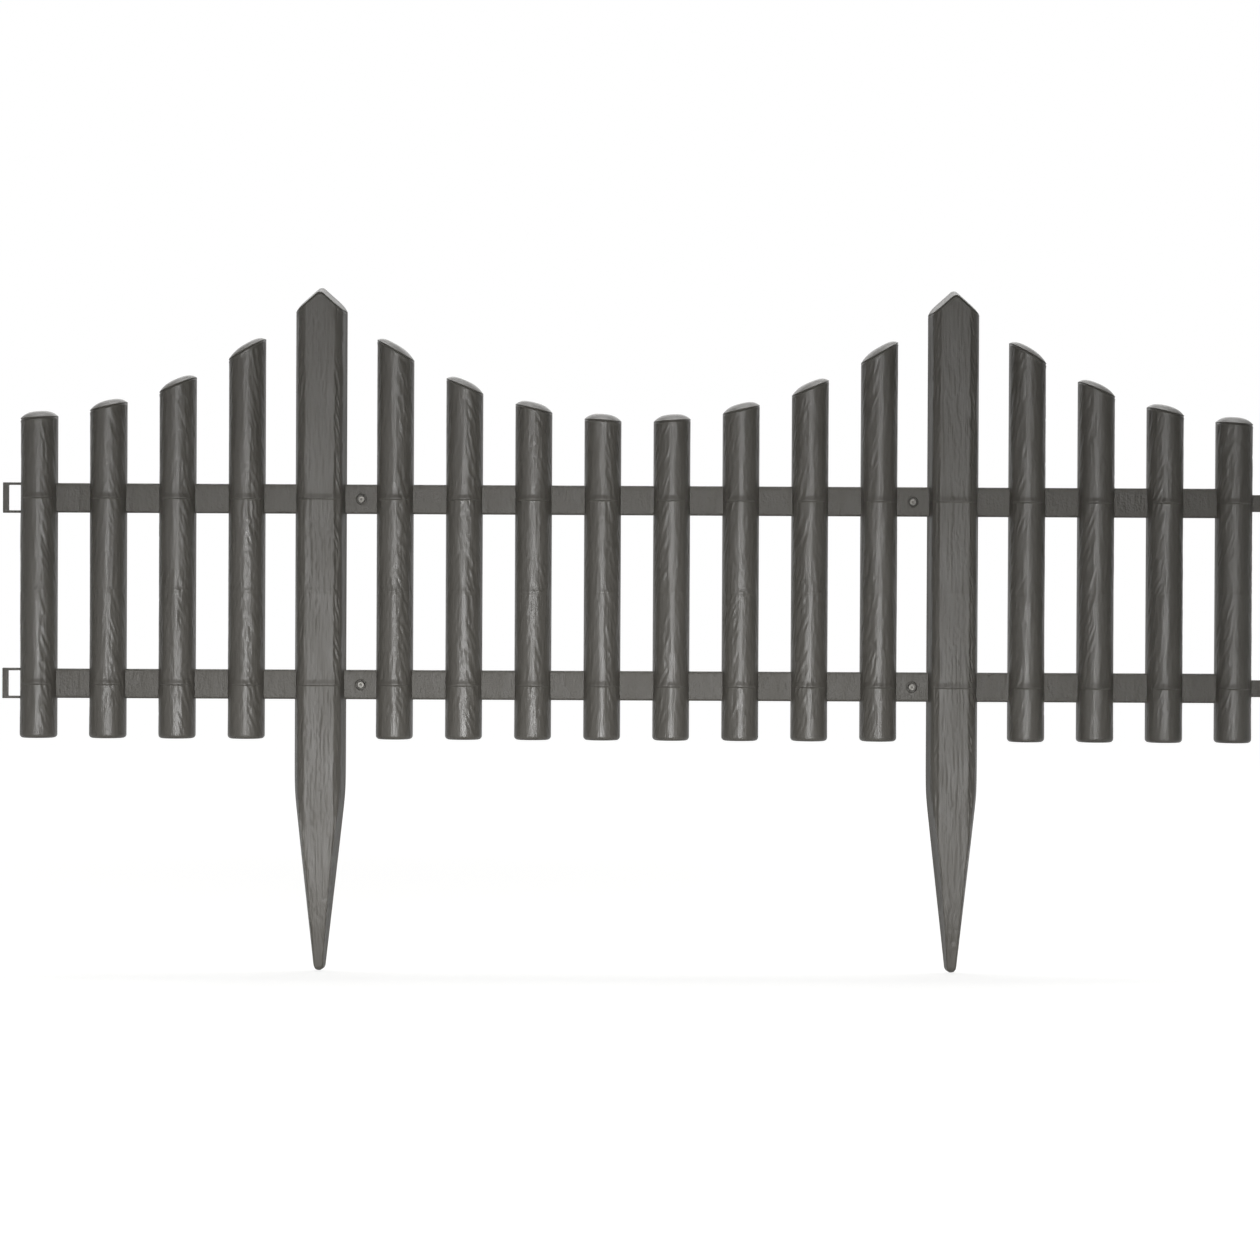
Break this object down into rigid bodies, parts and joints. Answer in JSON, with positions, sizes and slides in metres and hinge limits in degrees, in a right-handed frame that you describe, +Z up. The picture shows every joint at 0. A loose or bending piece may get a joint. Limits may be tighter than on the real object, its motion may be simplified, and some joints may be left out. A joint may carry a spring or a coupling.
{
  "type": "garden edging fence panel",
  "caption": "Moulded plastic lawn edging fence: half-round pickets in a scalloped row on two rails, pointed stakes to push into soil, end loops and tongues that link panels.",
  "frame": {"origin": "on the flat back of the left stake, on its centre line, at ground level (the picket feet)", "axes": "+X along the panel to the right seen from the front, +Y out of the flat back, +Z up"},
  "size_m": [0.5968, 0.0125, 0.3176],
  "materials": {
    "moulded_plastic": "satin dark grey polypropylene with moulded wood grain"
  },
  "bodies": {
    "root": {"fence_panel": "moulded_plastic"}
  },
  "joints": []
}
